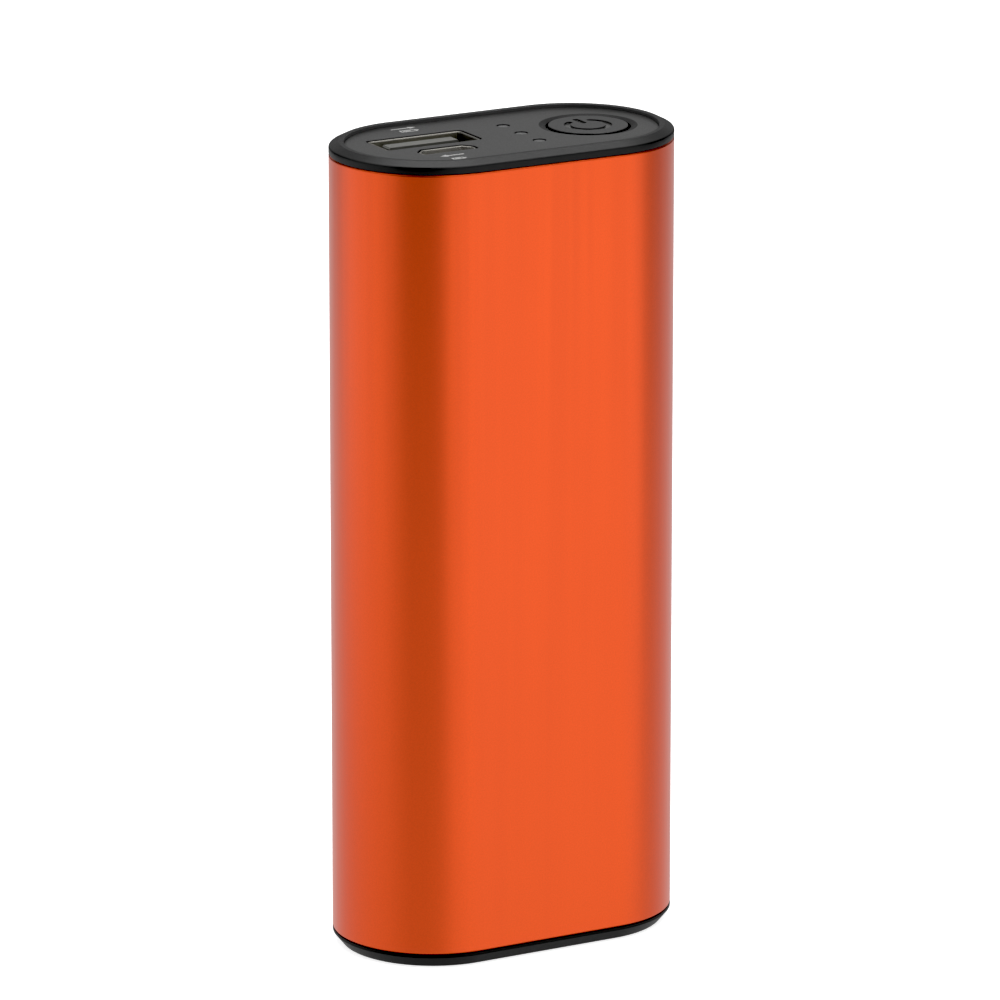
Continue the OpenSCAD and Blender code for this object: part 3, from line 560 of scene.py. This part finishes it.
Z_BTN = Z_PLATE
s = Solid()
prof = fillet([(1.5, 98.27), (1.5, 101.5), (4.0, 101.5), (4.0, 99.45), (5.5, 99.45), (5.5, 100.25), (5.0, 100.25), (5.0, Z_BTN), (4.7, Z_BTN)],
              {3: 0.1, 4: 0.1, 5: 0.1, 7: 0.12}, 5)
loops = s.sweep(prof, lambda r: circle(BUTTON_X, 0, r, 128))
s.fan(loops[0])
marks = []
for pts in (lambda c: ring_mark(BUTTON_X, 0, 2.6, 0.8 + 2 * c, 34), lambda c: rounded(BUTTON_X, 2.15, 0.8 + 2 * c, 2.7 + 2 * c, 0.39 + c, 6)):
    a, b, c, d = s.loop(pts(0.08), Z_BTN), s.loop(pts(0.03), Z_BTN), s.loop(pts(0.01), Z_BTN - 0.01), s.loop(pts(0), Z_BTN - 0.04)
    e, f, g = s.loop(pts(0), Z_BTN - 0.18), s.loop(pts(-0.02), Z_BTN - 0.2), s.loop(pts(-0.08), Z_BTN - 0.2)
    s.chain([a, b, c, d, e])
    s.chain([e, f, g], 1)
    s.fill(g, mat=1)
    marks.append(a)
s.fill(loops[-1], marks)
for sx in (-1, 1):
    s.box(BUTTON_X + sx * 5.8 - 0.6, BUTTON_X + sx * 5.8 + 0.6, -0.8, 0.8, 99.45, 100.25)
s.make("power_button_cap", [MAT["button_grey"], MAT["mark_floor"]], "button", ["power_button"])

# ------------------------------------------------------------------ lamps' light guide
s = Solid()
for i in (-1, 0, 1):
    tip = fillet([(0.75, 94.2), (0.75, Z_PLATE - 0.12), (0.3, Z_PLATE - 0.12)], {1: 0.12}, 4)
    loops = s.sweep(tip, lambda r: circle(LAMP_X, i * LAMP_PITCH, r, 40))
    s.fan(loops[0])
    s.fan(loops[-1])
s.box(LAMP_X - 1, LAMP_X + 1, -5.7, 5.7, Z_DECK0 - 1.1, Z_DECK0 - 0.1)
s.make("light_guide_posts", [MAT["clear_lens"]], "root", ["light_guide"])

# ------------------------------------------------------------------ sockets
Z_USB0 = Z_RIM - 14
STEEL = [MAT["socket_steel"], MAT["socket_inner_painted_light"]]


def mouth(depth, r, wall=0.3):
    """(growth, z, level) down a drawn shell's section: outside up, over the rounded rim, inside down."""
    out = [(0, Z_RIM - depth)] if depth else []
    arc = [(-0.07 + 0.07 * math.cos(t), Z_RIM - 0.07 + 0.07 * math.sin(t)) for t in (0, 0.52, 1.05, 1.57)]
    arc += [(-wall + r - r * math.sin(t), Z_RIM - r + r * math.cos(t)) for t in (0, 0.4, 0.8, 1.2, 1.57)]
    return out + arc + ([(-wall, Z_RIM - depth)] if depth else [])


# large socket: drawn shell with two spring windows in each wide wall
s = Solid()
XB = (4.4, 2.2, -2.2, -4.4)


def usb_outline(c):
    r = 0.6 + 0.833 * c
    hw, ht = 6.55 + c, 2.85 + c
    pts = []
    for q, (sx, sy) in enumerate(((1, 1), (-1, 1), (-1, -1), (1, -1))):
        for i in range(9):
            t = math.pi / 2 * (q + i / 8)
            pts.append((PORT_X + sx * (hw - r) + r * math.cos(t), USB_Y + sy * (ht - r) + r * math.sin(t)))
        if q in (0, 2):
            pts += [(PORT_X + x * sy, USB_Y + sy * ht) for x in XB]
    return pts


zb, zt = Z_RIM - 9.3, Z_RIM - 4
rim = mouth(0, 0.16)
levels = [(0, Z_USB0), (0, zb), (0, zt), *rim, (-0.3, zt), (-0.3, zb), (-0.3, Z_USB0)]
loops = [s.loop(usb_outline(c), z) for c, z in levels]
n = len(loops[0])
gaps = [(9, 10), (11, 12), (31, 32), (33, 34)]
last = len(loops) - 1
for k in range(len(loops)):
    a, b = loops[k], loops[(k + 1) % len(loops)]
    # the inner walls take the duller steel copy: painted light
    inner = 1 if last - 3 <= k < last else 0
    windowed = k == 1 or k == last - 2
    for i in range(n):
        j = (i + 1) % n
        if windowed and (i, j) in gaps:
            continue
        s.f.append((a[i], a[j], b[j], b[i]))
        # inner wall faces past x = PORT_X + 6 take the dark steel copy: painted shade at the cavity's end
        s.m.append(2 if inner and min(s.v[t][0] for t in (a[i], a[j])) > PORT_X + 6.0 else inner)
ob, ot, it, ib = loops[1], loops[2], loops[last - 2], loops[last - 1]
for i, j in gaps:
    for q in ((ob[i], ob[j], ib[j], ib[i]), (ot[i], ot[j], it[j], it[i]), (ob[i], ot[i], it[i], ib[i]), (ob[j], ot[j], it[j], ib[j])):
        s.f.append(q)
        s.m.append(0)
for sx in (-1, 1):
    for sy in (-1, 1):
        s.strip([(USB_Y + sy * u, Z_RIM + z) for u, z in ((2.85, -3.9), (2.82, -5.0), (2.66, -7.3), (2.64, -7.8), (2.66, -8.1), (2.73, -8.5))],
                [(USB_Y + sy * u, Z_RIM + z) for u, z in ((2.55, -3.9), (2.52, -5.0), (2.37, -7.3), (2.35, -7.8), (2.38, -8.15), (2.48, -8.6))],
                PORT_X + sx * 3.3 - 0.85, PORT_X + sx * 3.3 + 0.85)
    for z in (Z_RIM - 11.5, Z_RIM - 6):
        s.box(PORT_X + sx * 6.4 - 0.15, PORT_X + sx * 6.4 + 0.15, BOARD_Y + 1.6 - 2.7, BOARD_Y + 1.6 + 0.7, z - 0.8, z + 0.8)
s.make("usb_a_shell_drawn", [*STEEL, MAT["socket_end_painted_shade"]], "root", ["usb_a_shell"])

# small socket
s = Solid()
prof = mouth(5.35, 0.15)
loops = [s.loop(micro(c, 0.35 + c * 0.667), z) for c, z in prof]
for k in range(len(loops)):
    # the inner wall takes the lighter steel copy: painted light
    s.bridge(loops[k], loops[(k + 1) % len(loops)], 1 if k == len(loops) - 2 else 0)
for sx in (-1, 1):
    x = PORT_X + sx * 3.8
    s.box(x - 1.1, x + 1.1, BOARD_Y - 0.25, BOARD_Y, Z_RIM - 5.35 + 1.1, Z_RIM - 5.35 + 3.1)
s.make("micro_usb_shell_drawn", [MAT["socket_steel"], MAT["socket_small_painted_light"]], "root", ["micro_usb_shell"])

# moulded and stamped pieces carried over from the frame get a small broken edge
for name, w in (("usb_a_insulator", 0.06), ("micro_usb_insulator", 0.04), ("usb_a_contacts", 0.03), ("micro_usb_contacts", 0.02)):
    o = NODES[name]
    m = o.modifiers.new("weld", "WELD")
    m.merge_threshold = 1e-6
    m = o.modifiers.new("edge", "BEVEL")
    m.width, m.segments, m.limit_method, m.angle_limit = w * MM, 2, "ANGLE", math.radians(50)
    m.use_clamp_overlap = True

# ------------------------------------------------------------------ switch dome
s = Solid()
prof = [(1.75, 94.6), (1.7, 94.68)] + [(1.62 * math.cos(t), 94.72 + 0.31 * math.sin(t)) for t in [math.pi / 2 * i / 8 for i in range(8)]]
low = [(max(0.02, r - 0.05), z - 0.08) for r, z in reversed(prof[2:])]
loops = s.sweep(prof + [(0.05, 95.03)], lambda r: circle(BUTTON_X, 0, r, 40))
s.fan(loops[-1])
s.fan(loops[0])
dome = s.make("switch_dome_disc", [MAT["spring_steel"]], "root", ["switch_dome"])
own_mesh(dome)

# ------------------------------------------------------------------ floor, light, camera
floor_mat, nt, p = new_mat("floor_white")
nt.links.new(ramp(nt, noise(nt, coords(nt, (1, 1, 1)), 2.0, 2), [(0.3, (0.88, 0.88, 0.88)), (0.7, (0.9, 0.9, 0.9))]), p.inputs["Base Color"])
p.inputs["Roughness"].default_value = 0.9
p.inputs["Specular IOR Level"].default_value = 0.2
p.inputs["Emission Color"].default_value = (1, 1, 1, 1)
p.inputs["Emission Strength"].default_value = 0.8
bpy.ops.mesh.primitive_plane_add(size=30, location=(0, 0, 0))
floor = bpy.context.object
floor.name = "floor"
floor.data.materials.append(floor_mat)
# the floor shows, but doesn't shade the lights or throw its own light up, as with a cut-out background
floor.visible_glossy = floor.visible_diffuse = floor.visible_transmission = floor.visible_shadow = False

world = bpy.data.worlds.new("studio")
bpy.context.scene.world = world
world.use_nodes = True
bg = world.node_tree.nodes["Background"]
bg.inputs["Color"].default_value = (1, 1, 1, 1)
bg.inputs["Strength"].default_value = 0.012


def softbox(name, az, el, dist, w, h, radiance, aim=(0, 0, 0.05)):
    """Area light at azimuth az (0 in front, positive towards +X) and elevation el, in degrees."""
    power = radiance * math.pi * w * h
    a, e = math.radians(az), math.radians(el)
    loc = Vector((math.sin(a) * math.cos(e), -math.cos(a) * math.cos(e), math.sin(e))) * dist + Vector(aim)
    li = bpy.data.lights.new(name, "AREA")
    li.shape, li.size, li.size_y, li.energy = "RECTANGLE", w, h, power
    o = bpy.data.objects.new(name, li)
    o.location = loc
    o.rotation_mode = "QUATERNION"
    o.rotation_quaternion = (Vector(aim) - loc).to_track_quat("-Z", "Y")
    bpy.context.scene.collection.objects.link(o)
    o.visible_camera = False
    return o


softbox("key_right", 22, 0, 1.0, 1.44, 1.13, 0.83, (0, 0, 0.278))
softbox("fill_left", -107, 0, 1.0, 1.61, 0.74, 0.75, (0, 0, 0.18))
softbox("backdrop", 150, 0, 1.0, 1.6, 0.42, 0.42, (0, 0, 0.37))
softbox("overhead", 145, 70, 1.0, 0.75, 0.6, 2.78, (0, 0, 0.1))
softbox("top_soft", 140, 65, 1.15, 1.9, 1.6, 0.58, (0, 0, 0.1))
softbox("top_left", -110, 55, 1.0, 0.8, 0.6, 1.38, (0, 0, 0.1))
softbox("top_right", 70, 60, 1.0, 0.8, 0.6, 0.23, (0, 0, 0.1))
softbox("top_front", 20, 60, 1.0, 0.7, 0.4, 2.7, (0, 0, 0.1))

# white table top: throws the light of the studio up
table = bpy.data.lights.new("table_bounce", "AREA")
table.shape, table.size = "DISK", 1.214
table.energy = 0.70 * math.pi * math.pi * 0.607 ** 2
o = bpy.data.objects.new("table_bounce", table)
o.location = (0, 0, -0.0005)
o.rotation_euler = (math.pi, 0, 0)
bpy.context.scene.collection.objects.link(o)
o.visible_camera = False

cam_data = bpy.data.cameras.new("camera")
cam = bpy.data.objects.new("camera", cam_data)
bpy.context.scene.collection.objects.link(cam)
bpy.context.scene.camera = cam
YAW, PITCH = math.radians(-29.0), math.radians(15.37)
back = Vector((math.sin(YAW) * math.cos(PITCH), -math.cos(YAW) * math.cos(PITCH), math.sin(PITCH)))
cam.location = Vector((-0.4769, -0.8598, 0.3261))
cam.rotation_mode = "QUATERNION"
cam.rotation_quaternion = (-back).to_track_quat("-Z", "Y")
cam_data.sensor_width = 36
cam_data.lens = 36 * 8162 / 1000
cam_data.clip_start, cam_data.clip_end = 0.05, 60

bpy.context.scene.view_settings.view_transform = "Standard"
bpy.context.scene.view_settings.look = "None"
bpy.context.scene.view_settings.use_curve_mapping = True
bpy.context.scene.view_settings.curve_mapping.black_level = (0.018, 0.018, 0.018)
bpy.context.scene.view_settings.curve_mapping.update()
